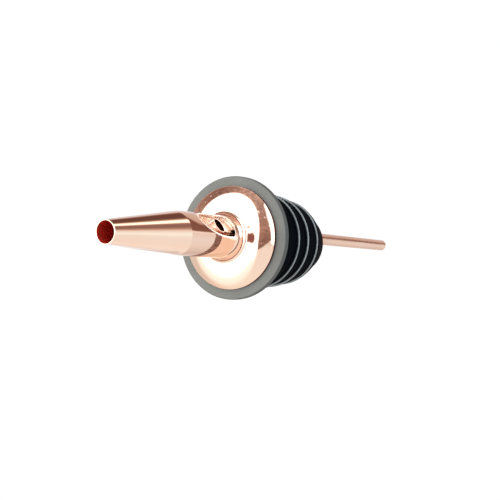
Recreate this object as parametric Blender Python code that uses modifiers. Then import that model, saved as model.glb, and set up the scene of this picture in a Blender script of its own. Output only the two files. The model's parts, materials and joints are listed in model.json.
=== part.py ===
"""Metal bar pour spout on a finned rubber bottle stopper.

Units are metres. +Z runs along the stopper's axis, out of the bottle and
towards the pouring tip. The origin is on that axis, level with the breather
tube's lower end. +X is the way the spout leans, so the air window faces -X.
Heights below are measured from the flange's underside, the face that rests on
the bottle's lip.
"""
import bpy
import bmesh
import math
from mathutils import Matrix, Vector

MM = 0.001
SEG = 64          # facets round the turned pieces and the spout
SEG_TUBE = 32     # facets round the breather tube

# Dimensions that several pieces share; the others head their own sections.
FLANGE_T = 1.78 * MM
BARREL_R = 5.35 * MM
BARREL_TOP_Z = 7.65 * MM
NECK_R = 4.86 * MM
NECK_WALL = 0.42 * MM
BREATHER_END_Z = -78.0 * MM
MOUTH_HALF_W = 2.08 * MM    # breather tube's flattened mouth, along Y

COPPER = (0.93, 0.60, 0.47)
RUBBER = (0.055, 0.058, 0.055)


# --------------------------------------------------------------------- scene
def new_collection(name):
    collection = bpy.data.collections.new(name)
    bpy.context.scene.collection.children.link(collection)
    return collection


for old in list(bpy.data.objects):
    bpy.data.objects.remove(old, do_unlink=True)

bpy.context.scene.unit_settings.system = "METRIC"
parts = new_collection("liquor_pour_spout")
cutters = new_collection("cutters")


# ----------------------------------------------------------------- materials
def principled(name, colour, roughness, metallic):
    material = bpy.data.materials.new(name)
    material.use_nodes = True
    inputs = material.node_tree.nodes["Principled BSDF"].inputs
    inputs["Base Color"].default_value = (*colour, 1.0)
    inputs["Roughness"].default_value = roughness
    inputs["Metallic"].default_value = metallic
    return material


def copper(name, roughness):
    return principled(name, COPPER, roughness=roughness, metallic=1.0)


def rubber(name):
    return principled(name, RUBBER, roughness=0.55, metallic=0.0)


# ------------------------------------------------------------ number helpers
def mix(start, end, share):
    return start + (end - start) * share


def ease(share):
    """Smooth step from 0 to 1."""
    share = min(1.0, max(0.0, share))
    return share * share * (3.0 - 2.0 * share)


def arc(centre_x, centre_z, radius, start, end, steps):
    """Points on an arc in a flat outline, from start to end in degrees."""
    angles = [math.radians(mix(start, end, i / steps)) for i in range(steps + 1)]
    return [(centre_x + radius * math.cos(angle), centre_z + radius * math.sin(angle))
            for angle in angles]


# -------------------------------------------------------------- mesh helpers
def new_object(name, bm, collection, material=None):
    """Turn a finished bmesh into an object, and free the bmesh."""
    mesh = bpy.data.meshes.new(name)
    bm.to_mesh(mesh)
    bm.free()
    if material is not None:
        mesh.materials.append(material)
    obj = bpy.data.objects.new(name, mesh)
    collection.objects.link(obj)
    return obj


def turned(name, profile, material):
    """A closed (x, z) profile, turned about Z with a Screw modifier. The profile
    runs outwards over the top, down the outer side and back up the bore."""
    bm = bmesh.new()
    verts = [bm.verts.new((x, 0.0, z)) for x, z in profile]
    for vert, following in zip(verts, verts[1:] + verts[:1]):
        bm.edges.new((vert, following))
    obj = new_object(name, bm, parts, material)
    screw = obj.modifiers.new("turn", "SCREW")
    screw.axis = "Z"
    screw.angle = 2.0 * math.pi
    screw.steps = SEG
    screw.render_steps = SEG
    screw.use_merge_vertices = True
    screw.merge_threshold = 1e-6
    screw.use_smooth_shade = True
    return obj


def loft_tube(name, outer, inner, material):
    """A hollow tube between two stacks of rings, each listed foot first. The
    skin goes up the outer stack, down the inner one and back to the start, so
    that an annulus closes each end."""
    bm = bmesh.new()
    rings = [[bm.verts.new(point) for point in ring] for ring in outer + inner[::-1]]
    count = len(rings[0])
    for ring, following in zip(rings, rings[1:] + rings[:1]):
        for i in range(count):
            j = (i + 1) % count
            bm.faces.new((ring[i], ring[j], following[j], following[i]))
    bmesh.ops.recalc_face_normals(bm, faces=bm.faces)
    return new_object(name, bm, parts, material)


def prism(name, outline, axis, low, high, collection, material=None):
    """A flat outline pushed along one axis, from low to high. The outline is in
    (y, z) for the X axis and in (x, z) for the Y axis."""
    def place(across, up, depth):
        return (depth, across, up) if axis == "X" else (across, depth, up)

    bm = bmesh.new()
    face = bm.faces.new([bm.verts.new(place(across, up, low)) for across, up in outline])
    grown = bmesh.ops.extrude_face_region(bm, geom=[face])["geom"]
    bmesh.ops.translate(
        bm, vec=Vector(place(0.0, 0.0, high - low)),
        verts=[item for item in grown if isinstance(item, bmesh.types.BMVert)])
    bmesh.ops.recalc_face_normals(bm, faces=bm.faces)
    return new_object(name, bm, collection, material)


def cylinder(name, radius, low, high, collection):
    bm = bmesh.new()
    bmesh.ops.create_cone(
        bm, cap_ends=True, segments=SEG, radius1=radius, radius2=radius,
        depth=high - low,
        matrix=Matrix.Translation((0.0, 0.0, 0.5 * (low + high))))
    return new_object(name, bm, collection)


def cut(obj, cutter, operation):
    """Add a Boolean to obj and hide its cutter."""
    modifier = obj.modifiers.new(operation.lower() + "_" + cutter.name, "BOOLEAN")
    modifier.operation = operation
    modifier.solver = "EXACT"
    modifier.object = cutter
    cutter.hide_render = True
    cutter.display_type = "WIRE"


def smooth(obj, sharp_angle=30.0):
    obj.data.shade_smooth()
    obj.data.set_sharp_from_angle(angle=math.radians(sharp_angle))


# ------------------------------------------------------------ rubber stopper
BORE_R = BARREL_R + 0.10 * MM
BORE_TOP_CHAMFER = 0.3 * MM
BORE_END_CHAMFER = 0.2 * MM
FLANGE_R = 14.25 * MM
FLANGE_ROUND = 0.36 * MM
FLANGE_FOOT_CHAMFER = 0.4 * MM    # where the flange meets the plug

# top z, edge radius, step in to the plug above the fin
FINS = (
    (-3.60 * MM, 12.00 * MM, 0.80 * MM),
    (-9.65 * MM, 11.65 * MM, 0.80 * MM),
    (-15.00 * MM, 11.15 * MM, 0.80 * MM),
    (-20.85 * MM, 10.45 * MM, 0.55 * MM),
)
FIN_ROUND = 0.22 * MM
FIN_ROOT_RISE = 0.06 * MM         # the fin's root lies this far above its top z
TAPER_BULGE = 0.10 * MM           # fullness halfway down the taper between fins

PLUG_END_Z = -29.6 * MM
PLUG_END_R = 6.7 * MM
PLUG_END_ROUND = 0.6 * MM
NOSE_STEPS = 6
NOSE_POWER = 1.2                  # above 1, the nose curves outwards


def flange_points():
    round_x = FLANGE_R - FLANGE_ROUND
    root_r = FINS[0][1] - FINS[0][2]
    return [
        (BORE_R, FLANGE_T - BORE_TOP_CHAMFER),
        (BORE_R + BORE_TOP_CHAMFER, FLANGE_T),
        *arc(round_x, FLANGE_T - FLANGE_ROUND, FLANGE_ROUND, 90, 0, steps=3),
        *arc(round_x, FLANGE_ROUND, FLANGE_ROUND, 0, -90, steps=3),
        (root_r + FLANGE_FOOT_CHAMFER, 0.0),
        (root_r, -FLANGE_FOOT_CHAMFER),
    ]


def fin_points():
    """For each fin, the taper down to it, its step out and its rounded lip."""
    points = []
    for k, (top_z, radius, step) in enumerate(FINS):
        root_r = radius - step
        if k > 0:
            above_z, above_r, _ = FINS[k - 1]
            points.append((0.5 * (above_r + root_r) + TAPER_BULGE,
                           0.5 * (above_z - FIN_ROUND + top_z)))
        points.append((root_r, top_z + FIN_ROOT_RISE))
        points += arc(radius - FIN_ROUND, top_z - FIN_ROUND, FIN_ROUND, 84, -10, steps=3)
    return points


def nose_points():
    """Below the last fin the plug narrows in a curve to its end."""
    last_z, last_r, _ = FINS[-1]
    round_z = PLUG_END_Z + PLUG_END_ROUND
    points = []
    for i in range(1, NOSE_STEPS):
        share = i / NOSE_STEPS
        points.append((mix(last_r, PLUG_END_R + PLUG_END_ROUND, share ** NOSE_POWER),
                       mix(last_z - FIN_ROUND, round_z, share)))
    points += arc(PLUG_END_R, round_z, PLUG_END_ROUND, 0, -90, steps=3)
    points += [(BORE_R + BORE_END_CHAMFER, PLUG_END_Z),
               (BORE_R, PLUG_END_Z + BORE_END_CHAMFER)]
    return points


def build_stopper():
    profile = flange_points() + fin_points() + nose_points()
    return turned("rubber_stopper", profile, rubber("stopper_rubber"))


# ------------------------------------------------------------------ dome cap
DOME_R = 11.90 * MM
DOME_SPHERE_R = 22.5 * MM
DOME_EDGE_Z = 2.45 * MM
DOME_SKIN = 0.55 * MM
DOME_LIP_ROUND = 0.26 * MM
DOME_SEAT_Z = FLANGE_T + 0.10 * MM
DOME_HOLE_R = BARREL_R + 0.16 * MM
HOLE_EDGE_W = 0.10 * MM           # bevel on the hole's upper edge
HOLE_EDGE_DROP = 0.08 * MM
COLLAR_RISE = 0.42 * MM
COLLAR_FADE = 0.45 * MM           # distance over which the collar dies away
COLLAR_W_BELOW = 0.5 * MM         # the underside is level over this width
DOME_TOP_STEPS = 11
DOME_TOP_CROWDING = 1.6           # above 1, points crowd towards the hole
DOME_UNDER_STEPS = 6


def dome_height(radius):
    """A spherical cap with a small upturned collar round the barrel."""
    cap = (math.sqrt(DOME_SPHERE_R ** 2 - radius ** 2)
           - math.sqrt(DOME_SPHERE_R ** 2 - DOME_R ** 2))
    return DOME_EDGE_Z + cap + COLLAR_RISE * math.exp(-(radius - DOME_HOLE_R) / COLLAR_FADE)


def dome_profile():
    lip_x = DOME_R - DOME_LIP_ROUND
    top = []
    for i in range(DOME_TOP_STEPS + 1):
        radius = mix(DOME_HOLE_R + HOLE_EDGE_W, lip_x,
                     (i / DOME_TOP_STEPS) ** DOME_TOP_CROWDING)
        top.append((radius, dome_height(radius)))
    points = [(DOME_HOLE_R, top[0][1] - HOLE_EDGE_DROP)] + top
    points += arc(lip_x, top[-1][1] - DOME_LIP_ROUND, DOME_LIP_ROUND, 60, 0, steps=2)
    points += [(DOME_R, DOME_SEAT_Z), (DOME_R - DOME_SKIN, DOME_SEAT_Z)]
    for i in range(DOME_UNDER_STEPS + 1):
        radius = mix(DOME_R - DOME_SKIN, DOME_HOLE_R, i / DOME_UNDER_STEPS)
        above = dome_height(max(radius, DOME_HOLE_R + COLLAR_W_BELOW))
        points.append((radius, above - DOME_SKIN))
    return points


def build_dome():
    return turned("dome_cap", dome_profile(), copper("cap_copper", roughness=0.09))


# --------------------------------------------------------------- barrel tube
BARREL_WALL = 0.33 * MM
BARREL_END_Z = -30.5 * MM


def build_barrel():
    """The inlet tube that carries the stopper, with a rounded top rim."""
    rim_r = 0.5 * BARREL_WALL
    profile = arc(BARREL_R - rim_r, BARREL_TOP_Z - rim_r, rim_r, 180, 0, steps=4)
    profile += [(BARREL_R, BARREL_END_Z), (BARREL_R - BARREL_WALL, BARREL_END_Z)]
    return turned("barrel_tube", profile, copper("barrel_copper", roughness=0.14))


# ------------------------------------------------------------- pouring spout
# A straight neck, a short bend and a taper to the tip.
NECK_FOOT_Z = 0.6 * MM
KNEE_Z = 25.00 * MM               # where the neck's and the taper's axes meet
BEND = math.radians(3.85)
BEND_HALF_LEN = 0.5 * MM          # from the knee to either end of the bend
BEND_STEPS = 4
BEND_NARROWING = 0.05 * MM
SPOUT_LEN = 22.18 * MM            # from the knee to the tip
TAPER_STEPS = 5
TIP_R = 2.56 * MM
TIP_WALL = 0.26 * MM
TIP_EDGE_LEN = 0.12 * MM
TIP_EDGE_W = 0.10 * MM

# air window in the heel of the spout
WINDOW_FOOT_Z = 7.40 * MM
WINDOW_WAIST_Z = 9.8 * MM
WINDOW_TOP_Z = 20.3 * MM
WINDOW_HALF_W = 3.40 * MM
WINDOW_CORNER_R = 0.9 * MM
WINDOW_STEPS = 14
WINDOW_POWER = 0.53               # 0.5 would make the upper part an ellipse
WINDOW_CUT_X = (-7.0 * MM, -0.2 * MM)


def spout_stations():
    """Stations up the spout (centre, tilt, outer radius), and the tip's centre."""
    heights = (NECK_FOOT_Z, BARREL_TOP_Z, 0.5 * (BARREL_TOP_Z + KNEE_Z))
    stations = [(Vector((0, 0, z)), 0.0, NECK_R) for z in heights]

    bend_r = BEND_HALF_LEN / math.tan(0.5 * BEND)
    bend_centre = Vector((bend_r, 0, KNEE_Z - BEND_HALF_LEN))
    for i in range(BEND_STEPS + 1):
        share = i / BEND_STEPS
        tilt = BEND * share
        centre = bend_centre + bend_r * Vector((-math.cos(tilt), 0, math.sin(tilt)))
        stations.append((centre, tilt, NECK_R - BEND_NARROWING * share ** 2))

    start, _, start_r = stations[-1]
    aim = Vector((math.sin(BEND), 0, math.cos(BEND)))
    length = SPOUT_LEN - BEND_HALF_LEN
    for i in range(1, TAPER_STEPS + 1):
        share = i / TAPER_STEPS
        # the last station stops short, to leave room for the eased edge
        reach = length * share - (TIP_EDGE_LEN if i == TAPER_STEPS else 0.0)
        stations.append((start + aim * reach, BEND, mix(start_r, TIP_R, share)))
    return stations, start + aim * length


def tilted_ring(centre, tilt, radius):
    across = Vector((math.cos(tilt), 0, -math.sin(tilt)))
    side = Vector((0, 1, 0))
    angles = [2 * math.pi * i / SEG for i in range(SEG)]
    return [centre + radius * (math.cos(angle) * across + math.sin(angle) * side)
            for angle in angles]


def build_spout():
    stations, tip = spout_stations()
    last_z = stations[-1][0].z
    outer, inner = [], []
    for centre, tilt, radius in stations:
        share = max(0.0, (centre.z - KNEE_Z) / (last_z - KNEE_Z))
        wall = mix(NECK_WALL, TIP_WALL, share)
        outer.append(tilted_ring(centre, tilt, radius))
        inner.append(tilted_ring(centre, tilt, radius - wall))
    # the tip's edge is eased over on both sides of the wall
    outer.append(tilted_ring(tip, BEND, TIP_R - TIP_EDGE_W))
    inner.append(tilted_ring(tip, BEND, TIP_R - TIP_WALL + TIP_EDGE_W))
    return loft_tube("pouring_spout", outer, inner, copper("spout_copper", roughness=0.10))


def window_outline():
    """(y, z) outline: rounded corners at the foot, straight sides up to the
    waist, then closing to a rounded point at the top."""
    right = arc(WINDOW_HALF_W - WINDOW_CORNER_R, WINDOW_FOOT_Z + WINDOW_CORNER_R,
                WINDOW_CORNER_R, -90, 0, steps=4)
    for i in range(WINDOW_STEPS + 1):
        rise = math.sin(0.5 * math.pi * i / WINDOW_STEPS)
        half_w = WINDOW_HALF_W * max(0.0, 1.0 - rise ** 2) ** WINDOW_POWER
        right.append((half_w, mix(WINDOW_WAIST_Z, WINDOW_TOP_Z, rise)))
    left = [(-y, z) for y, z in reversed(right[:-1])]
    return right + left


def cut_window(spout):
    cutter = prism("window_cutter", window_outline(), "X", *WINDOW_CUT_X, cutters)
    cut(spout, cutter, "DIFFERENCE")
    return cutter


# ------------------------------------------------------------- breather tube
# Flattened mouth in the window, round below.
BREATHER_R = 1.47 * MM
BREATHER_WALL = 0.27 * MM
BREATHER_LOW_X = -1.44 * MM
BREATHER_LOW_Y = -0.96 * MM
SHIFT_FOOT_Z = -20.0 * MM         # the tube starts to move over to the heel
HEEL_X = -3.02 * MM
HEEL_Z = 7.35 * MM
MOUTH_X = -3.42 * MM
MOUTH_Z = 11.05 * MM
MOUTH_HALF_T = 0.86 * MM
FLATTEN_FOOT_Z = 0.8 * MM
FLATTEN_LEN = 6.0 * MM
LENS_PINCH = 0.16                 # share of the thickness lost at the lens's edges

# ring heights: sparse down the straight tube, every 3 mm where it changes
BREATHER_LEVELS = (
    [BREATHER_END_Z, -50.0 * MM, -22.0 * MM]
    + [(-22.0 + 3.0 * i) * MM for i in range(1, 11)]
    + [9.4 * MM, MOUTH_Z]
)


def breather_centre(z):
    """The tube comes up the barrel off centre and is led over to the heel."""
    shift = ease((z - SHIFT_FOOT_Z) / (HEEL_Z - SHIFT_FOOT_Z))
    heel_x = mix(HEEL_X, MOUTH_X, max(0.0, (z - HEEL_Z) / (MOUTH_Z - HEEL_Z)))
    return mix(BREATHER_LOW_X, heel_x, shift), BREATHER_LOW_Y * (1.0 - shift)


def breather_ring(z, inset):
    """Round low down, squeezed to a lens at the mouth. inset is the wall when
    the ring belongs to the bore."""
    flat = ease((z - FLATTEN_FOOT_Z) / FLATTEN_LEN)
    half_x = mix(BREATHER_R, MOUTH_HALF_T, flat) - inset
    half_y = mix(BREATHER_R, MOUTH_HALF_W, flat) - inset
    centre_x, centre_y = breather_centre(z)
    points = []
    for i in range(SEG_TUBE):
        angle = 2 * math.pi * i / SEG_TUBE
        # the lens pinches where the two flattened sides meet
        pinch = 1.0 - LENS_PINCH * flat * abs(math.sin(angle)) ** 3
        points.append(Vector((centre_x + half_x * math.cos(angle) * pinch,
                              centre_y + half_y * math.sin(angle), z)))
    return points


def build_breather():
    outer = [breather_ring(z, 0.0) for z in BREATHER_LEVELS]
    inner = [breather_ring(z, BREATHER_WALL) for z in BREATHER_LEVELS]
    return loft_tube("breather_tube", outer, inner, copper("breather_copper", roughness=0.30))


# --------------------------------------------------------------- vent baffle
# The scoop that keeps the liquor out of the window.
BAFFLE_T = 0.40 * MM
BAFFLE_HALF_W = 5.0 * MM          # before it is trimmed to the neck's bore
RAMP_TOP_X = -4.12 * MM
RAMP_TOP_Z = 20.55 * MM
RAMP_FOOT_X = -1.90 * MM
RAMP_FOOT_Z = 8.00 * MM
RAMP_STEPS = 7
RAMP_POWER = 1.5                  # above 1, the ramp is steepest at its foot
# offset from the ramp's -X side to its +X side, roughly square to the ramp
RAMP_OFFSET_X = BAFFLE_T * 0.985
RAMP_OFFSET_Z = -BAFFLE_T * 0.17
FLOOR_Z = 6.60 * MM
FLOOR_END_X = -4.6 * MM
FLOOR_BEND_R = 0.55 * MM

TRIM_R = NECK_R - NECK_WALL - 0.28 * MM
TRIM_Z = (5.5 * MM, 24.0 * MM)

# opening round the breather tube
SLOT_X = (-5.2 * MM, RAMP_FOOT_X - 0.12 * MM)
SLOT_Z = (5.6 * MM, 8.2 * MM)
SLOT_HALF_W = MOUTH_HALF_W + 0.28 * MM


def baffle_outline():
    """(x, z) outline of the scoop: a ramp from the window's top down behind the
    breather's mouth, then a short floor out to the heel. It goes down the -X
    side and out over the floor, then back under the floor and up the +X side."""
    ramp = []
    for i in range(RAMP_STEPS + 1):
        share = i / RAMP_STEPS
        ramp.append((mix(RAMP_TOP_X, RAMP_FOOT_X, 1.0 - (1.0 - share) ** RAMP_POWER),
                     mix(RAMP_TOP_Z, RAMP_FOOT_Z, share)))
    bend_x = RAMP_FOOT_X - FLOOR_BEND_R
    bend_z = FLOOR_Z + FLOOR_BEND_R
    return [
        *ramp,
        *arc(bend_x, bend_z, FLOOR_BEND_R, 0, -90, steps=3),
        (FLOOR_END_X, FLOOR_Z),
        (FLOOR_END_X, FLOOR_Z - BAFFLE_T),
        *arc(bend_x, bend_z, FLOOR_BEND_R + BAFFLE_T, -90, 0, steps=3),
        *[(x + RAMP_OFFSET_X, z + RAMP_OFFSET_Z) for x, z in reversed(ramp)],
    ]


def build_baffle():
    return prism("vent_baffle", baffle_outline(), "Y", -BAFFLE_HALF_W, BAFFLE_HALF_W,
                 parts, copper("baffle_copper", roughness=0.22))


def trim_baffle(baffle):
    """Trim the scoop to the neck's bore and open its slot."""
    trim = cylinder("baffle_trim", TRIM_R, *TRIM_Z, cutters)
    cut(baffle, trim, "INTERSECT")
    (x_low, x_high), (z_low, z_high) = SLOT_X, SLOT_Z
    outline = [(x_low, z_low), (x_high, z_low), (x_high, z_high), (x_low, z_high)]
    slot = prism("baffle_slot", outline, "Y", -SLOT_HALF_W, SLOT_HALF_W, cutters)
    cut(baffle, slot, "DIFFERENCE")
    return trim, slot


# ------------------------------------------------------------------ assembly
def new_empty(name):
    empty = bpy.data.objects.new(name, None)
    empty.empty_display_size = 0.01
    parts.objects.link(empty)
    return empty


stopper = build_stopper()
dome = build_dome()
barrel = build_barrel()
spout = build_spout()
window = cut_window(spout)
breather = build_breather()
baffle = build_baffle()
trim, slot = trim_baffle(baffle)

# The metal pourer lifts out of the stopper and turns in it, both on +Z.
lift = new_empty("pourer_lift")
turn = new_empty("pourer_turn")
lift.parent = stopper
turn.parent = lift
dome.parent = lift
for piece in (barrel, spout, breather, baffle, window, trim, slot):
    piece.parent = turn

# The stopper carries everything up, so that the breather's lower end is at z = 0.
stopper.location.z = -BREATHER_END_Z

for piece in (spout, breather, baffle):
    smooth(piece)
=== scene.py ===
"""Looks for the metal bar pour spout: polished copper-coloured spout, cap and
tubes on a finned rubber bottle stopper. Everything is built in metres in the
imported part's own frame, +Z out of the bottle. The spout's air window faces -X
and its tip leans towards +X."""
import bpy
import bmesh
import json
import math
from mathutils import Matrix, Vector
from mathutils.geometry import delaunay_2d_cdt


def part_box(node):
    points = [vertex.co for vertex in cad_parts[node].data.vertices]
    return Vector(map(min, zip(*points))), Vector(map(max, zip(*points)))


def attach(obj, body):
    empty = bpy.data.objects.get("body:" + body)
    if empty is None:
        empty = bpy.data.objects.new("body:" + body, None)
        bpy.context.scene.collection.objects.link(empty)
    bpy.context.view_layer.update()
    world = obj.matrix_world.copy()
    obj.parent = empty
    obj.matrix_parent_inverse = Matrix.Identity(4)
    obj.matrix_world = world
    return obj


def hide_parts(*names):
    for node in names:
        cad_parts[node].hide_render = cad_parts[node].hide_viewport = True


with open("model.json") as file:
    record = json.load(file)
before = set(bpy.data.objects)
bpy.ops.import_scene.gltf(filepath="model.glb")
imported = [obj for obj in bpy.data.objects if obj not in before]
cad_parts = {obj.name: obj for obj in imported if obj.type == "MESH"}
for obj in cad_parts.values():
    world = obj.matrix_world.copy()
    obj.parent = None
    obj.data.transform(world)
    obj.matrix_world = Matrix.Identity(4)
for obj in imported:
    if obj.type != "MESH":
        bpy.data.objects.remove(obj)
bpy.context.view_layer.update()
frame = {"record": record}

MM = 0.001

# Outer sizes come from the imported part's boxes. Heights are measured from the
# flange's underside, the face the record's mount sits on.
SEAT_Z = frame["record"]["mounts"][0]["pos_m"][2]
stopper_low, stopper_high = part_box("rubber_stopper")
dome_low, dome_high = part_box("dome_cap")
barrel_low, barrel_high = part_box("barrel_tube")
spout_low, spout_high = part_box("pouring_spout")
breather_low, breather_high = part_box("breather_tube")

# sizes that several pieces share
BARREL_R = barrel_high.x
NECK_R = spout_high.y
NECK_WALL = 0.42 * MM


# ------------------------------------------------------------------- helpers
def ease(t):
    t = min(1.0, max(0.0, t))
    return t * t * (3.0 - 2.0 * t)


def link(name, mesh):
    obj = bpy.data.objects.new(name, mesh)
    bpy.context.scene.collection.objects.link(obj)
    return obj


def seated(obj):
    """Stands a finished piece at its height in the part's frame."""
    obj.data.transform(Matrix.Translation((0, 0, SEAT_Z)))
    return obj


def register(obj, group, part):
    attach(obj, group)
    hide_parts(part)


def mesh_of(name, verts, faces):
    mesh = bpy.data.meshes.new(name)
    mesh.from_pydata([tuple(v) for v in verts], [], faces)
    mesh.validate()
    bm = bmesh.new()
    bm.from_mesh(mesh)
    bmesh.ops.recalc_face_normals(bm, faces=bm.faces)
    bm.to_mesh(mesh)
    bm.free()
    mesh.shade_smooth()
    return mesh


def filleted(corners, arc_steps=6):
    """A profile from corners (x, z, radius): each corner with a radius becomes
    an arc that is tangent to both of its sides."""
    points = []
    for i, (x, z, radius) in enumerate(corners):
        if radius <= 0.0:
            points.append((x, z))
            continue
        last_x, last_z, _ = corners[i - 1]
        next_x, next_z, _ = corners[(i + 1) % len(corners)]
        to_last = Vector((last_x - x, last_z - z)).normalized()
        to_next = Vector((next_x - x, next_z - z)).normalized()
        half = 0.5 * math.acos(max(-1.0, min(1.0, to_last.dot(to_next))))
        reach = radius / math.tan(half)
        corner = Vector((x, z))
        centre = corner + (to_last + to_next).normalized() * (radius / math.sin(half))
        start = corner + to_last * reach - centre
        end = corner + to_next * reach - centre
        first = math.atan2(start.y, start.x)
        sweep = math.atan2(end.y, end.x) - first
        sweep = (sweep + math.pi) % (2 * math.pi) - math.pi
        for k in range(arc_steps + 1):
            angle = first + sweep * k / arc_steps
            points.append((centre.x + radius * math.cos(angle),
                           centre.y + radius * math.sin(angle)))
    return points


def turned(name, profile, segments, sharp):
    """A closed profile turned about Z. Edges above the sharp angle, in
    degrees, are shaded as creases."""
    verts, faces = [], []
    size = len(profile)
    for i in range(segments):
        angle = 2 * math.pi * i / segments
        cosine, sine = math.cos(angle), math.sin(angle)
        verts += [(x * cosine, x * sine, z) for x, z in profile]
    for i in range(segments):
        j = (i + 1) % segments
        for k in range(size):
            m = (k + 1) % size
            faces.append((i * size + k, j * size + k, j * size + m, i * size + m))
    mesh = mesh_of(name, verts, faces)
    mesh.set_sharp_from_angle(angle=math.radians(sharp))
    return link(name, mesh)


def ring_quads(count, size, closed=False):
    """Faces between each ring and the next; closed joins last to first."""
    faces = []
    for i in range(count if closed else count - 1):
        j = (i + 1) % count
        for k in range(size):
            m = (k + 1) % size
            faces.append((i * size + k, i * size + m, j * size + m, j * size + k))
    return faces


# ------------------------------------------------------------ rubber stopper
FLANGE_R = stopper_high.x
FLANGE_T = stopper_high.z - SEAT_Z
FLANGE_ROUND = 0.36 * MM
FLANGE_UNDER_ROUND = 0.45 * MM
BORE_R = BARREL_R + 0.10 * MM
BORE_TOP_ROUND = 0.25 * MM
BORE_END_ROUND = 0.2 * MM
# top height, rim radius, step in from the rim to the plug just above the fin
FINS = ((-3.60 * MM, 12.00 * MM, 0.80 * MM),
        (-9.65 * MM, 11.65 * MM, 0.80 * MM),
        (-15.00 * MM, 11.15 * MM, 0.80 * MM),
        (-20.85 * MM, 10.45 * MM, 0.55 * MM))
FIN_ROUND = 0.22 * MM
FIN_ROOT_ROUND = 0.12 * MM
FIN_TOP_INSETS = (0.43 * MM, 0.32 * MM)
FIN_BULGE = 0.12 * MM
PLUG_END_Z = stopper_low.z - SEAT_Z
PLUG_END_R = 6.7 * MM
PLUG_END_ROUND = 0.6 * MM
PLUG_TAPER_POWER = 1.2
PLUG_TAPER_STEPS = 16


def stopper_profile():
    below = FINS[0][1] - FINS[0][2]
    corners = [(BORE_R, FLANGE_T, BORE_TOP_ROUND),
               (FLANGE_R, FLANGE_T, FLANGE_ROUND),
               (FLANGE_R, 0.0, FLANGE_ROUND),
               (below, 0.0, FLANGE_UNDER_ROUND)]
    for k, (top, rim, _) in enumerate(FINS):
        corners.append((below, top, FIN_ROOT_ROUND))
        for inset in FIN_TOP_INSETS:
            corners.append((rim - inset, top, 0.0))
        corners.append((rim, top, FIN_ROUND))
        if k + 1 < len(FINS):
            next_top, next_rim, next_step = FINS[k + 1]
            low = next_rim - next_step
            for t in (0.25, 0.5, 0.75):
                corners.append((rim + (low - rim) * t + FIN_BULGE * math.sin(math.pi * t),
                                top + (next_top - top) * t, 0.0))
            below = low
    top, rim, _ = FINS[-1]
    taper_end_z = PLUG_END_Z + PLUG_END_ROUND
    for i in range(1, PLUG_TAPER_STEPS):
        t = i / PLUG_TAPER_STEPS
        corners.append((rim + (PLUG_END_R + PLUG_END_ROUND - rim) * t ** PLUG_TAPER_POWER,
                        top + (taper_end_z - top) * t, 0.0))
    corners.append((PLUG_END_R + PLUG_END_ROUND, PLUG_END_Z, PLUG_END_ROUND))
    corners.append((BORE_R, PLUG_END_Z, BORE_END_ROUND))
    return filleted(corners)


def mark_crest(obj):
    """How much painted grey sheen each point carries: all of it on the flange,
    on a fin only what lies along its outer edge."""
    crest = obj.data.attributes.new("crest", "FLOAT", "POINT")
    for i, vert in enumerate(obj.data.vertices):
        radius, z = math.hypot(vert.co.x, vert.co.y), vert.co.z - SEAT_Z
        share = 1.0
        if z < -1.0 * MM:
            rim = min(FINS, key=lambda fin: abs(z - fin[0]))[1]
            share = ease((radius - rim + 0.46 * MM) / (0.14 * MM))
        elif radius > FLANGE_R - 0.2 * MM:
            # the flange's own edge carries the most painted sheen, whichever way it faces
            share = 1.0 + ease((z - 0.1 * MM) / (0.3 * MM))
        crest.data[i].value = share


stopper = seated(turned("finned_stopper", stopper_profile(), segments=224, sharp=60.0))
mark_crest(stopper)
register(stopper, "stopper", "rubber_stopper")


# ------------------------------------------------------------------ dome cap
DOME_R = dome_high.x
DOME_SEAT_Z = dome_low.z - SEAT_Z
DOME_SPHERE_R = 22.5 * MM
DOME_EDGE_Z = 2.45 * MM
DOME_SKIN = 0.55 * MM
DOME_HOLE_R = BARREL_R + 0.04 * MM
DOME_HOLE_CHAMFER = (0.05 * MM, 0.04 * MM)      # outwards, down
DOME_COLLAR_RISE = 0.42 * MM
DOME_COLLAR_REACH = 0.28 * MM
DOME_UNDERSIDE_START = 0.5 * MM    # from the hole, beyond the collar's steep part
DOME_LIP = 0.04 * MM
DOME_LIP_DROP = 0.848              # lip's centre below the top's end, in lips
DOME_FOOT_CHAMFER = 0.05 * MM
DOME_TOP_STEPS = 70
DOME_UNDER_STEPS = 24


def dome_height(radius):
    cap = (math.sqrt(DOME_SPHERE_R ** 2 - radius ** 2)
           - math.sqrt(DOME_SPHERE_R ** 2 - DOME_R ** 2))
    # the metal is drawn up round the hole in a short, tight flare
    return DOME_EDGE_Z + cap + DOME_COLLAR_RISE * math.exp(
        -(radius - DOME_HOLE_R) / DOME_COLLAR_REACH)


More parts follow.
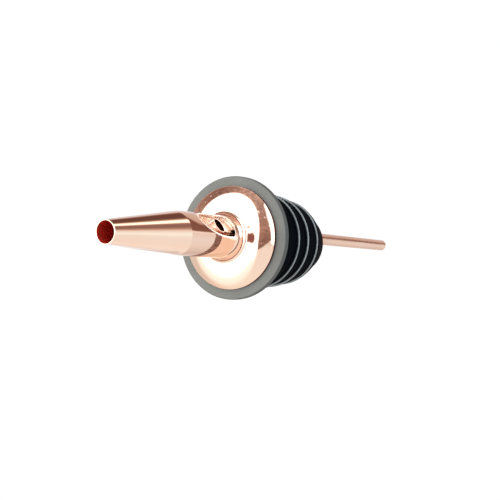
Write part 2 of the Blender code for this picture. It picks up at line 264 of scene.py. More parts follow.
def dome_profile():
    start, end = DOME_HOLE_R + DOME_HOLE_CHAMFER[0], DOME_R - DOME_LIP
    top = []
    for i in range(DOME_TOP_STEPS + 1):
        radius = start + (end - start) * (i / DOME_TOP_STEPS) ** 1.5
        top.append((radius, dome_height(radius)))
    # close levels at the edge, so that the shading turns only in the lip
    last = top.pop()
    for back in (0.08 * MM, 0.04 * MM, 0.015 * MM):
        top.append((end - back, dome_height(end - back)))
    top.append(last)
    points = [(DOME_HOLE_R, top[0][1] - DOME_HOLE_CHAMFER[1])] + top
    lip_z = last[1] - DOME_LIP * DOME_LIP_DROP
    for degrees in range(56, -1, -8):
        angle = math.radians(degrees)
        points.append((end + DOME_LIP * math.cos(angle),
                       lip_z + DOME_LIP * math.sin(angle)))
    inner = DOME_R - DOME_SKIN
    points += [(DOME_R, DOME_SEAT_Z + DOME_FOOT_CHAMFER),
               (DOME_R - DOME_FOOT_CHAMFER, DOME_SEAT_Z),
               (inner, DOME_SEAT_Z)]
    for i in range(DOME_UNDER_STEPS + 1):
        radius = inner + (DOME_HOLE_R - inner) * i / DOME_UNDER_STEPS
        level = dome_height(max(radius, DOME_HOLE_R + DOME_UNDERSIDE_START))
        points.append((radius, level - DOME_SKIN))
    return points


dome = seated(turned("polished_cap", dome_profile(), segments=256, sharp=50.0))
register(dome, "cap", "dome_cap")


# --------------------------------------------------------------- barrel tube
BARREL_WALL = 0.33 * MM
BARREL_TOP_Z = barrel_high.z - SEAT_Z
BARREL_END_Z = barrel_low.z - SEAT_Z
BARREL_END_ROUND = 0.06 * MM
COLLAR_R = NECK_R + 0.006 * MM
COLLAR_FOOT_Z = dome_high.z - SEAT_Z + 0.02 * MM


def barrel_profile():
    """Thin tube, drawn in above the cap to a collar that closes on the
    neck."""
    inner = BARREL_R - BARREL_WALL
    return filleted([
        (BARREL_R, BARREL_END_Z, BARREL_END_ROUND),
        (BARREL_R, COLLAR_FOOT_Z, 0.30 * MM),
        (COLLAR_R + 0.03 * MM, BARREL_TOP_Z, 0.02 * MM),
        (COLLAR_R, BARREL_TOP_Z - 0.005 * MM, 0.0),
        (COLLAR_R, BARREL_TOP_Z - 0.85 * MM, 0.04 * MM),
        (inner, BARREL_TOP_Z - 1.30 * MM, 0.10 * MM),
        (inner, BARREL_END_Z, BARREL_END_ROUND)])


barrel = seated(turned("inlet_barrel", barrel_profile(), segments=192, sharp=60.0))
register(barrel, "pourer", "barrel_tube")


# ------------------------------------------------------------- pouring spout
# A straight neck, a slight bend and a tapering cone. "along" is the distance
# up the middle line from the neck's foot, "turn" the angle round it from -X.
NECK_FOOT_Z = spout_low.z - SEAT_Z
KNEE_Z = 25.00 * MM
KNEE_ALONG = KNEE_Z - NECK_FOOT_Z
BEND = math.radians(3.85)
BEND_HALF_LEN = 0.5 * MM
BEND_R = BEND_HALF_LEN / math.tan(0.5 * BEND)
BEND_LEN = BEND_R * BEND
BEND_DROP = 0.10 * MM
SPOUT_LEN = 22.18 * MM            # from the knee to the tip
NECK_LEN = KNEE_Z - BEND_HALF_LEN - NECK_FOOT_Z
CONE_LEN = SPOUT_LEN - BEND_HALF_LEN
SPOUT_TOTAL = NECK_LEN + BEND_LEN + SPOUT_LEN - BEND_HALF_LEN
SHOULDER_LEN = 4.8 * MM
SHOULDER_DROP = 0.15 * MM
TIP_R = 2.56 * MM
TIP_WALL = 0.26 * MM
TIP_ROUND = 0.13 * MM
WALL_TOP = SPOUT_TOTAL - TIP_ROUND
WALL_SEGMENTS = 160
ROUND_STEPS = 8

WINDOW_FOOT_Z = 7.40 * MM
WINDOW_WAIST_Z = 9.8 * MM
WINDOW_TOP_Z = 20.3 * MM
WINDOW_HALF_W = 3.40 * MM
WINDOW_CORNER_R = 0.9 * MM
WINDOW_ROLL = 0.34 * MM
WINDOW_MARGIN = 0.09 * MM         # no grid points this close to the rim
# the part of the wall that is checked against the window
CHECK_TURN = 1.1
CHECK_LOW = 5.9 * MM
CHECK_HIGH = 20.6 * MM
# the wall's levels: distance along that each run ends at, count of levels
WALL_RUNS = ((6.3 * MM, 6), (20.6 * MM, 58), (KNEE_ALONG - 0.7 * MM, 10),
             (KNEE_ALONG + 0.7 * MM, 14), (WALL_TOP, 50))


def spout_station(along):
    """Centre, tilt, outer radius and wall at a distance along the spout."""
    if along <= NECK_LEN:
        t = max(0.0, 1.0 - (NECK_LEN - along) / SHOULDER_LEN)
        return (Vector((0, 0, NECK_FOOT_Z + along)), 0.0,
                NECK_R - SHOULDER_DROP * t ** 3, NECK_WALL)
    if along <= NECK_LEN + BEND_LEN:
        tilt = BEND * (along - NECK_LEN) / BEND_LEN
        pivot = Vector((BEND_R, 0, KNEE_Z - BEND_HALF_LEN))
        centre = pivot + BEND_R * Vector((-math.cos(tilt), 0, math.sin(tilt)))
        return centre, tilt, NECK_R - SHOULDER_DROP - BEND_DROP * tilt / BEND, NECK_WALL
    start, _, radius, _ = spout_station(NECK_LEN + BEND_LEN)
    t = (along - NECK_LEN - BEND_LEN) / CONE_LEN
    return (start + aim_of(BEND) * CONE_LEN * t, BEND, radius + (TIP_R - radius) * t,
            NECK_WALL + (TIP_WALL - NECK_WALL) * t)


def aim_of(tilt):
    """The middle line's direction where it has this tilt."""
    return Vector((math.sin(tilt), 0, math.cos(tilt)))


def radius_at(along):
    return spout_station(along)[2]


def slope_at(along):
    """Change of the outer radius with distance along the spout."""
    delta = 0.05 * MM
    return (radius_at(min(along + delta, SPOUT_TOTAL))
            - radius_at(max(along - delta, 0.0))) / (2 * delta)


def wall_point(turn, along, share, shift=(0.0, 0.0)):
    """Point and outward direction; share is 0 on the outer skin and 1 on the
    bore, shift moves the point round and along by lengths."""
    centre, tilt, radius, wall = spout_station(along + shift[1])
    turn = turn + shift[0] / radius
    across = Vector((math.cos(tilt), 0, -math.sin(tilt)))
    out = -math.cos(turn) * across + math.sin(turn) * Vector((0, 1, 0))
    return centre + out * (radius - wall * share), out


def window_outline():
    """The air window as (across, height) points: parallel at the foot with
    rounded corners, closing to a blunt point at the top."""
    corner_x = WINDOW_HALF_W - WINDOW_CORNER_R
    corner_z = WINDOW_FOOT_Z + WINDOW_CORNER_R
    right = []
    for i in range(9):
        right.append((corner_x * i / 9.0, WINDOW_FOOT_Z))
    for degrees in range(-90, 1, 9):
        angle = math.radians(degrees)
        right.append((corner_x + WINDOW_CORNER_R * math.cos(angle),
                      corner_z + WINDOW_CORNER_R * math.sin(angle)))
    for i in range(1, 9):
        right.append((WINDOW_HALF_W, corner_z + (WINDOW_WAIST_Z - corner_z) * i / 9.0))
    steps = 60
    for i in range(steps + 1):
        t = math.sin(0.5 * math.pi * i / steps)
        right.append((WINDOW_HALF_W * max(0.0, 1.0 - t ** 2) ** 0.53,
                      WINDOW_WAIST_Z + (WINDOW_TOP_Z - WINDOW_WAIST_Z) * t))
    return right + [(-x, z) for x, z in reversed(right[1:-1])]


def lay_out(across, height):
    """Turn and distance along of the wall point at a place in the side view."""
    along = height - NECK_FOOT_Z
    for _ in range(14):
        centre, tilt, radius, _ = spout_station(along)
        turn = math.asin(max(-1.0, min(1.0, across / radius)))
        along += height - (centre.z + radius * math.cos(turn) * math.sin(tilt))
    return turn, along


def window_rim():
    """The line where the wall stops, one roll short of the opening, and the
    directions away from the opening."""
    edge = [lay_out(across, height) for across, height in window_outline()]
    away = []
    for i, (_, along) in enumerate(edge):
        (turn0, along0), (turn1, along1) = edge[i - 1], edge[(i + 1) % len(edge)]
        step = Vector(((turn1 - turn0) * radius_at(along), along1 - along0)).normalized()
        away.append(Vector((step.y, -step.x)))
    rim = [(turn + away[i].x * WINDOW_ROLL / radius_at(along),
            along + away[i].y * WINDOW_ROLL)
           for i, (turn, along) in enumerate(edge)]
    return rim, away


def flat_point(turn, along):
    return Vector((turn * NECK_R, along))


def clearance_to(rim):
    """A function that gives a flat point's distance to the rim's line,
    negative inside the opening."""
    line = [flat_point(*p) for p in rim]

    def clearance(point):
        best, inside = 1e9, False
        for i, end in enumerate(line):
            start = line[i - 1]
            side = end - start
            t = max(0.0, min(1.0, (point - start).dot(side) / max(side.dot(side), 1e-18)))
            best = min(best, (point - start - side * t).length)
            if (start.y > point.y) != (end.y > point.y):
                if point.x < (start.x + (point.y - start.y) / (end.y - start.y)
                              * (end.x - start.x)):
                    inside = not inside
        return -best if inside else best

    return clearance


def by_window(turn, along, high=CHECK_HIGH):
    return abs(turn) < CHECK_TURN and CHECK_LOW < along < high


def flat_wall(rim, clearance):
    """The wall laid out flat with the window cut from it: the (turn, along)
    places and the triangles between them."""
    levels, at = [], 0.0
    for stop, count in WALL_RUNS:
        levels += [at + (stop - at) * i / count for i in range(count)]
        at = stop
    levels.append(WALL_TOP)
    flat = []
    for along in levels:
        for j in range(WALL_SEGMENTS + 1):
            turn = -math.pi + 2 * math.pi * j / WALL_SEGMENTS
            if (by_window(turn, along)
                    and clearance(flat_point(turn, along)) < WINDOW_MARGIN):
                continue
            flat.append((turn, along))
    base = len(flat)
    flat += rim
    loop = [(base + i, base + (i + 1) % len(rim)) for i in range(len(rim))]
    points, _, triangles, origin, _, _ = delaunay_2d_cdt(
        [Vector((turn * NECK_R / MM, along / MM)) for turn, along in flat],
        loop, [], 0, 1e-6, True)
    places = [flat[source[0]] if source else (point.x * MM / NECK_R, point.y * MM)
              for point, source in zip(points, origin)]
    kept = []
    for triangle in triangles:
        middle = sum((flat_point(*places[i]) for i in triangle),
                     Vector((0, 0))) / len(triangle)
        if (abs(middle.x) > CHECK_TURN * NECK_R
                or not CHECK_LOW < middle.y < CHECK_HIGH
                or clearance(middle) > 0.0):
            kept.append(triangle)
    return places, kept


class Wall:
    """Collects the spout's points with their normals and attributes."""

    def __init__(self):
        self.verts, self.normals, self.faces = [], [], []
        self.bore, self.raw_edge = [], []

    def add(self, point, normal, bore, raw_edge):
        self.verts.append(point)
        self.normals.append(normal.normalized())
        self.bore.append(bore)
        self.raw_edge.append(raw_edge)
        return len(self.verts) - 1

    def bridge(self, rows, closed):
        for lower, upper in zip(rows, rows[1:]):
            for i in range(len(lower) if closed else len(lower) - 1):
                j = (i + 1) % len(lower)
                self.faces.append([lower[i], lower[j], upper[j], upper[i]])


def outer_skin(wall, places, clearance):
    index = []
    for turn, along in places:
        point, out = wall_point(turn, along, 0.0)
        aim = aim_of(spout_station(along)[1])
        # share of the painted highlight along the window's edge
        edge_highlight_share = 0.0
        if by_window(turn, along, high=20.8 * MM):
            edge_highlight_share = ease(1.0 - clearance(flat_point(turn, along)) / (0.11 * MM))
        index.append(wall.add(point, out - aim * slope_at(along), 0.0, edge_highlight_share))
    return index


def inner_skin(wall, places):
    """The bore attribute runs from -1 below the knee to 1 near the tip."""
    index = []
    for turn, along in places:
        point, out = wall_point(turn, along, 1.0)
        aim = aim_of(spout_station(along)[1])
        stain = (ease((along - KNEE_ALONG) / (0.30 * SPOUT_LEN))
                 - 1.0 + ease((along - KNEE_ALONG + 2.0 * MM) / (2.0 * MM)))
        index.append(wall.add(point, (out - aim * slope_at(along)) * -1.0, stain, 0.0))
    return index


def rolled_window_edge(wall, rim, away):
    """Rows of points that roll the wall over from the outer skin inwards."""
    rows = []
    for k in range(1, ROUND_STEPS):
        angle = math.pi * k / ROUND_STEPS
        row = []
        for i, (turn, along) in enumerate(rim):
            push = -away[i] * WINDOW_ROLL * math.sin(angle)
            point, out = wall_point(turn, along, 0.5 - 0.5 * math.cos(angle), push)
            aim = aim_of(spout_station(along)[1])
            around = out.cross(aim).normalized()
            if around.dot(wall_point(turn + 0.01, along, 0.0)[0]
                          - wall_point(turn - 0.01, along, 0.0)[0]) < 0:
                around = -around
            inward = (around * -away[i].x + aim * -away[i].y).normalized()
            # the outer rows of the roll carry the painted highlight
            row.append(wall.add(point, out * math.cos(angle) + inward * math.sin(angle),
                                -1.0 if k > 1 else -0.5, 1.0 if k < 5 else 0.0))
        rows.append(row)
    return rows


def rounded_tip(wall, turns):
    """Rows of points that close the tip's rim with a half round."""
    aim = aim_of(spout_station(WALL_TOP)[1])
    rows = []
    for k in range(1, ROUND_STEPS):
        angle = math.pi * k / ROUND_STEPS
        row = []
        for turn in turns:
            point, out = wall_point(turn, WALL_TOP, 0.5 - 0.5 * math.cos(angle))
            row.append(wall.add(point + aim * (TIP_ROUND * math.sin(angle)),
                                out * math.cos(angle) + aim * math.sin(angle), 0.0, 0.0))
        rows.append(row)
    return rows


def end_line(places, along):
    """Indices of the places at one distance along, in order of turn."""
    found = sorted((turn, i) for i, (turn, at) in enumerate(places)
                   if abs(at - along) < 1e-7)
    return [i for _, i in found]


def spout_mesh(wall):
    mesh = bpy.data.meshes.new("tapered_spout")
    mesh.from_pydata([tuple(v) for v in wall.verts], [], wall.faces)
    for name, values in (("bore", wall.bore), ("raw_edge", wall.raw_edge)):
        attribute = mesh.attributes.new(name, "FLOAT", "POINT")
        for i, value in enumerate(values):
            attribute.data[i].value = value
    # carries the normals through the merging of the seam's points
    guide = mesh.attributes.new("guide", "FLOAT_VECTOR", "POINT")
    for i, normal in enumerate(wall.normals):
        guide.data[i].vector = normal
    bm = bmesh.new()
    bm.from_mesh(mesh)
    bmesh.ops.remove_doubles(bm, verts=bm.verts, dist=0.0004 * MM)
    bmesh.ops.recalc_face_normals(bm, faces=bm.faces)
    bm.to_mesh(mesh)
    bm.free()
    mesh.shade_smooth()
    normals = [Vector(d.vector) for d in mesh.attributes["guide"].data]
    mesh.normals_split_custom_set_from_vertices(normals)
    mesh.attributes.remove(mesh.attributes["guide"])
    return mesh


def build_spout():
    """The wall is laid out flat, turn against length, with the window cut
    from it, then wrapped on to the spout. The cut's edge is rolled over."""
    rim, away = window_rim()
    clearance = clearance_to(rim)
    places, triangles = flat_wall(rim, clearance)
    wall = Wall()
    outer = outer_skin(wall, places, clearance)
    inner = inner_skin(wall, places)
    for triangle in triangles:
        wall.faces.append([outer[i] for i in triangle])
        wall.faces.append([inner[i] for i in reversed(triangle)])

    where = {(round(turn, 9), round(along, 9)): i
             for i, (turn, along) in enumerate(places)}
    rim_line = [where[(round(turn, 9), round(along, 9))] for turn, along in rim]
    wall.bridge([[outer[i] for i in rim_line], *rolled_window_edge(wall, rim, away),
                 [inner[i] for i in rim_line]], closed=True)

    tip_line = end_line(places, WALL_TOP)
    tip_rows = rounded_tip(wall, [places[i][0] for i in tip_line])
    wall.bridge([[outer[i] for i in tip_line], *tip_rows,
                 [inner[i] for i in tip_line]], closed=False)

    # the foot is cut square
    foot_line = end_line(places, 0.0)
    for i, j in zip(foot_line, foot_line[1:]):
        wall.faces.append([outer[j], outer[i], inner[i], inner[j]])
    return link("tapered_spout", spout_mesh(wall))


spout = seated(build_spout())
register(spout, "pourer", "pouring_spout")


# ------------------------------------------------------------- breather tube
# A round pipe that sways towards -X on its way up and flattens to its mouth.
BREATHER_R = 1.47 * MM
BREATHER_WALL = 0.27 * MM
BREATHER_EDGE = 0.5 * BREATHER_WALL
BREATHER_END_Z = breather_low.z - SEAT_Z
BREATHER_LOW_XY = (-1.44 * MM, -0.96 * MM)
SWAY_FOOT_Z = -20.0 * MM
HEEL_X = -3.02 * MM
HEEL_Z = 7.35 * MM
MOUTH_X = -3.42 * MM
MOUTH_Z = breather_high.z - SEAT_Z
MOUTH_HALF_W = 2.08 * MM
MOUTH_HALF_T = 0.86 * MM
MOUTH_PINCH = 0.16                # share taken off the thickness at its sides
FLATTEN_Z = 0.8 * MM
FLATTEN_LEN = 6.0 * MM
BREATHER_SEGMENTS = 96


def breather_centre(z):
    t = ease((z - SWAY_FOOT_Z) / (HEEL_Z - SWAY_FOOT_Z))
    heel_x = HEEL_X + (MOUTH_X - HEEL_X) * max(0.0, (z - HEEL_Z) / (MOUTH_Z - HEEL_Z))
    x = BREATHER_LOW_XY[0] + (heel_x - BREATHER_LOW_XY[0]) * t
    return Vector((x, BREATHER_LOW_XY[1] * (1.0 - t), z))


def breather_ring(z, inset):
    flat = ease((z - FLATTEN_Z) / FLATTEN_LEN)
    half_y = BREATHER_R + (MOUTH_HALF_W - BREATHER_R) * flat - inset
    half_x = BREATHER_R + (MOUTH_HALF_T - BREATHER_R) * flat - inset
    centre = breather_centre(z)
    points = []
    for i in range(BREATHER_SEGMENTS):
        angle = 2 * math.pi * i / BREATHER_SEGMENTS
        sine, cosine = math.sin(angle), math.cos(angle)
        pinch = 1.0 - MOUTH_PINCH * flat * abs(sine) ** 3
        points.append(Vector((centre.x + half_x * cosine * pinch,
                              centre.y + half_y * sine, z)))
    return points


def breather_end(z, direction):
    """Rings of a half round: direction 1 rounds the mouth from outside to
    bore, -1 the lower end from bore to outside."""
    rings = []
    for degrees in range(15, 180, 15):
        angle = math.radians(degrees)
        ring = breather_ring(
            z, BREATHER_EDGE - direction * BREATHER_EDGE * math.cos(angle))
        rise = Vector((0, 0, direction * BREATHER_EDGE * math.sin(angle)))
        rings.append([p + rise for p in ring])
    return rings


def build_breather():
    """Rings go up the outside and down the bore, the last joined to the
    first."""
    top = MOUTH_Z - BREATHER_EDGE
    levels = [BREATHER_END_Z + BREATHER_EDGE, -60 * MM, -40 * MM, -24 * MM]
    levels += [(-22.0 + 33.0 * i / 60.0) * MM for i in range(60)]
    levels = [z for z in levels if z < top] + [top]
    rings = [breather_ring(z, 0.0) for z in levels]
    rings += breather_end(top, 1)
    rings += [breather_ring(z, BREATHER_WALL) for z in reversed(levels)]
    rings += breather_end(levels[0], -1)
    mesh = mesh_of("breather_pipe", [p for ring in rings for p in ring],
                   ring_quads(len(rings), BREATHER_SEGMENTS, closed=True))
    mesh.set_sharp_from_angle(angle=math.radians(50.0))
    return link("breather_pipe", mesh)


breather = seated(build_breather())
register(breather, "pourer", "breather_tube")


# --------------------------------------------------------------- vent baffle
BAFFLE_T = 0.40 * MM
BAFFLE_GAP = 0.28 * MM
BAFFLE_TRIM_R = NECK_R - NECK_WALL - BAFFLE_GAP + 0.20 * MM
RAMP_TOP_X = -4.12 * MM
RAMP_TOP_Z = 20.55 * MM
RAMP_FOOT_X = -1.90 * MM
RAMP_FOOT_Z = 8.00 * MM
RAMP_STEPS = 40
RAMP_POWER = 1.5
RAMP_OFFSET = (BAFFLE_T * 0.985, BAFFLE_T * 0.17)   # +X and down to the back face
SCOOP_FLOOR_Z = 6.60 * MM
SCOOP_FLOOR_X = -4.6 * MM
SCOOP_BEND_R = 0.55 * MM
SCOOP_HALF_W = 5.0 * MM
NOTCH_GAP = 0.07 * MM


def scoop_outline():
    """The ramp's and floor's section as (x, z) points."""
    front = []
    for i in range(RAMP_STEPS + 1):
        t = i / RAMP_STEPS
        front.append((RAMP_TOP_X + (RAMP_FOOT_X - RAMP_TOP_X)
                      * (1.0 - (1.0 - t) ** RAMP_POWER),
                      RAMP_TOP_Z + (RAMP_FOOT_Z - RAMP_TOP_Z) * t))
    back_ramp = [(x + RAMP_OFFSET[0], z - RAMP_OFFSET[1]) for x, z in front]
    centre_x, centre_z = RAMP_FOOT_X - SCOOP_BEND_R, SCOOP_FLOOR_Z + SCOOP_BEND_R

    def bend(radius, degrees):
        return [(centre_x - radius * math.cos(math.radians(d)),
                 centre_z - radius * math.sin(math.radians(d))) for d in degrees]

    front += bend(SCOOP_BEND_R, range(180, 89, -10))
    front.append((SCOOP_FLOOR_X, SCOOP_FLOOR_Z))
    back = [(SCOOP_FLOOR_X, SCOOP_FLOOR_Z - BAFFLE_T)]
    back += bend(SCOOP_BEND_R + BAFFLE_T, range(90, 181, 10))
    return front + back + list(reversed(back_ramp))


def scoop_sheet():
    outline = scoop_outline()
    size = len(outline)
    verts = [(x, y, z) for y in (-SCOOP_HALF_W, SCOOP_HALF_W) for x, z in outline]
    faces = [tuple(range(size)), tuple(range(2 * size - 1, size - 1, -1))]
    return link("air_scoop", mesh_of("air_scoop", verts, faces + ring_quads(2, size)))


def scoop_trim():
    """A cylinder that trims the sheet inside the neck's bore."""
    bm = bmesh.new()
    bmesh.ops.create_cone(bm, cap_ends=True, segments=160, radius1=BAFFLE_TRIM_R,
                          radius2=BAFFLE_TRIM_R, depth=20 * MM,
                          matrix=Matrix.Translation((0, 0, 15 * MM)))
    mesh = bpy.data.meshes.new("scoop_trim")
    bm.to_mesh(mesh)
    bm.free()
    return link("scoop_trim", mesh)


def scoop_slot():
    """A solid that notches the floor close round the breather."""
    rings = [breather_ring((5.0 + 0.3 * i) * MM, -NOTCH_GAP) for i in range(13)]
    size = BREATHER_SEGMENTS
    faces = [tuple(reversed(range(size))),
             tuple(range((len(rings) - 1) * size, len(rings) * size))]
    verts = [v for ring in rings for v in ring]
    return link("scoop_slot", mesh_of("scoop_slot", verts,
                                      faces + ring_quads(len(rings), size)))


def build_baffle():
    """The scoop on the axis side of the breather's mouth: a ramp and a notched
    floor, trimmed to the neck's bore."""
    sheet, trim, slot = scoop_sheet(), scoop_trim(), scoop_slot()
    for other, operation in ((trim, "INTERSECT"), (slot, "DIFFERENCE")):
        modifier = sheet.modifiers.new(operation.lower(), "BOOLEAN")
        modifier.operation = operation
        modifier.solver = "EXACT"
        modifier.object = other
    bpy.context.view_layer.update()
    graph = bpy.context.evaluated_depsgraph_get()
    mesh = bpy.data.meshes.new_from_object(sheet.evaluated_get(graph))
    for obj in (sheet, trim, slot):
        bpy.data.objects.remove(obj, do_unlink=True)
    mesh.name = "vent_scoop"
    mesh.shade_smooth()
    mesh.set_sharp_from_angle(angle=math.radians(35))
    return link("vent_scoop", mesh)


scoop = seated(build_baffle())
register(scoop, "pourer", "vent_baffle")


# -------------------------------------------------------------- node helpers
class Nodes:
    """One node tree. Inputs take numbers, colours or other nodes' outputs."""

    def __init__(self, tree):
        self.tree = tree

    def feed(self, socket, value):
        if isinstance(value, bpy.types.NodeSocket):
            self.tree.links.new(value, socket)
        elif socket.type == "RGBA":
            socket.default_value = (*value, 1)
        else:
            socket.default_value = value

    def add(self, kind, inputs=None, **settings):
        node = self.tree.nodes.new(kind)
        for key, value in settings.items():
            setattr(node, key, value)
        for key, value in (inputs or {}).items():
            self.feed(node.inputs[key], value)
        return node

    def math(self, operation, *values):
        return self.add("ShaderNodeMath", dict(enumerate(values)),
                        operation=operation).outputs[0]

    def mix(self, fac, under, over, blend="MIX"):
        return self.add("ShaderNodeMix", {0: fac, 6: under, 7: over},
                        data_type="RGBA", blend_type=blend).outputs[2]

    def mix_value(self, fac, under, over):
        return self.add("ShaderNodeMix", {0: fac, 2: under, 3: over},
                        data_type="FLOAT").outputs[0]

    def ranged(self, value, span, to=(0.0, 1.0), smooth=False):
        """Maps the span of the value to another range, clamped."""
        return self.add(
            "ShaderNodeMapRange",
            {"From Min": span[0], "From Max": span[1],
             "To Min": to[0], "To Max": to[1], "Value": value},
            interpolation_type="SMOOTHSTEP" if smooth else "LINEAR").outputs["Result"]

    def noise(self, vector, scale, detail, roughness=0.5):
        return self.add("ShaderNodeTexNoise",
                        {"Scale": scale, "Detail": detail, "Roughness": roughness,
                         "Vector": vector}).outputs["Fac"]

    def stretched(self, vector, scale):
        return self.add("ShaderNodeMapping",
                        {"Scale": scale, "Vector": vector}).outputs["Vector"]

    def split(self, vector):
        return self.add("ShaderNodeSeparateXYZ", {0: vector}).outputs

    def attribute(self, name):
        return self.add("ShaderNodeAttribute", attribute_name=name).outputs["Fac"]

    def bumped(self, height, distance, below=None, strength=1.0):
        inputs = {"Strength": strength, "Distance": distance, "Height": height}
        if below is not None:
            inputs["Normal"] = below
        return self.add("ShaderNodeBump", inputs).outputs["Normal"]


def new_material(name):
    """A material, its nodes and its surface shader's inputs."""
    mat = bpy.data.materials.new(name)
    mat.use_nodes = True
    tree = mat.node_tree
    return mat, Nodes(tree), tree.nodes["Principled BSDF"].inputs


# ----------------------------------------------------------------- materials
# A copper finish, which may paint light or shade into the colour, takes
# (nodes, surface, position, colour, rough) and returns the changed colour and rough.
def painted_nook_shade(nodes, surface, position, colour, rough):
    """Painted shade: the low corner between the pipe and the scoop, on the
    +Y side, is painted near-black where the crevice lies in shade."""
    place = nodes.split(position)
    low = nodes.ranged(place["Z"], span=(SEAT_Z + 7.2 * MM, SEAT_Z + 7.9 * MM),
                       to=(1.0, 0.0), smooth=True)
    side = nodes.ranged(place["Y"], span=(1.15 * MM, 1.60 * MM), smooth=True)
    shade = nodes.math("MULTIPLY", low, side)
    # the near-black colour is painted shade
    return nodes.mix(shade, under=colour, over=(0.020, 0.007, 0.004)), rough


def painted_cap_edge_shade(nodes, surface, position, colour, rough):
    """Painted shade on the cap: a thin dark line at its edge, where it sits on the
    rubber, and a dark ring where its flare meets the tube.
    """
    place = nodes.split(position)
    flat = nodes.add("ShaderNodeCombineXYZ", {"X": place["X"], "Y": place["Y"]})
    radius = nodes.add("ShaderNodeVectorMath", {0: flat.outputs[0]},
                       operation="LENGTH").outputs["Value"]
    # painted shade line along the cap's edge
    rim = nodes.ranged(radius, span=(DOME_R - 0.060 * MM, DOME_R - 0.025 * MM))
    # painted shade ring at the flare's foot, standing in for a dark reflection there
    hole = nodes.ranged(radius, to=(0.75, 0.0),
                        span=(DOME_HOLE_R + 0.08 * MM, DOME_HOLE_R + 0.16 * MM))
    dark = nodes.math("MAXIMUM", rim, hole)
    return nodes.mix(dark, under=colour, over=(0.22, 0.075, 0.065)), rough


def spout_stain_and_edge_highlight(nodes, surface, position, colour, rough):
    """The bore is left unpolished and stained, darkest at the tip; below the
    knee it is bright and pale. The window's edge carries a painted highlight."""
    bore = nodes.attribute("bore")
    colour = nodes.mix(bore, under=colour, over=(0.80, 0.085, 0.050))
    below_knee = nodes.ranged(bore, span=(-1.0, 0.0), to=(1.0, 0.0))
    colour = nodes.mix(below_knee, under=colour, over=(0.995, 0.950, 0.900))
    below_knee = nodes.ranged(bore, span=(-1.0, 0.0), to=(1.0, 0.0))
    rough = nodes.mix_value(below_knee, under=rough, over=0.26)
    # painted highlight: the window's cut edge, rolled over, and a thin band beside it are
    # made pale and almost matt, so that they show as a bright line instead of mirroring
    cut = nodes.attribute("raw_edge")
    colour = nodes.mix(cut, under=colour, over=(0.96, 0.86, 0.74))
    nodes.feed(surface["Metallic"], nodes.ranged(cut, span=(0.0, 1.0), to=(1.0, 0.15)))
    return colour, nodes.mix_value(bore, under=rough, over=0.60)


def copper(name, roughness, peel, drawn=0.0, light=(0.955, 0.715, 0.575),
           deep=(0.945, 0.690, 0.545), finish_and_painted_light=None):
    """Copper plate. roughness is a range, peel the height of the polish's fine
    waviness and drawn the depth of the lines a drawn tube keeps along its
    length."""
    mat, nodes, surface = new_material(name)
    position = nodes.add("ShaderNodeTexCoord").outputs["Object"]
    clouds = nodes.ranged(nodes.noise(position, scale=90.0, detail=5.0),
                          span=(0.35, 0.65))
    colour = nodes.mix(clouds, under=light, over=deep)
    rough = nodes.ranged(nodes.noise(position, scale=420.0, detail=6.0),
                         span=(0.3, 0.7), to=roughness)
    # fine scratches from handling, laid every which way
    scratch = nodes.noise(nodes.stretched(position, (1.0, 0.06, 0.5)),
                          scale=5200.0, detail=2.0)
    mark = nodes.ranged(scratch, span=(0.66, 0.72), to=(0.0, 0.05))
    rough = nodes.math("ADD", rough, mark)
    if finish_and_painted_light:
        colour, rough = finish_and_painted_light(nodes, surface, position, colour, rough)
    nodes.feed(surface["Base Color"], colour)
    nodes.feed(surface["Roughness"], rough)
    surface["Metallic"].default_value = 1.0
    normal = nodes.bumped(nodes.noise(position, scale=1500.0, detail=2.0), peel)
    if drawn:
        lines = nodes.noise(nodes.stretched(position, (1.0, 1.0, 0.02)),
                            scale=2600.0, detail=4.0)
        normal = nodes.bumped(lines, drawn, below=normal)
    nodes.feed(surface["Normal"], normal)
    return mat


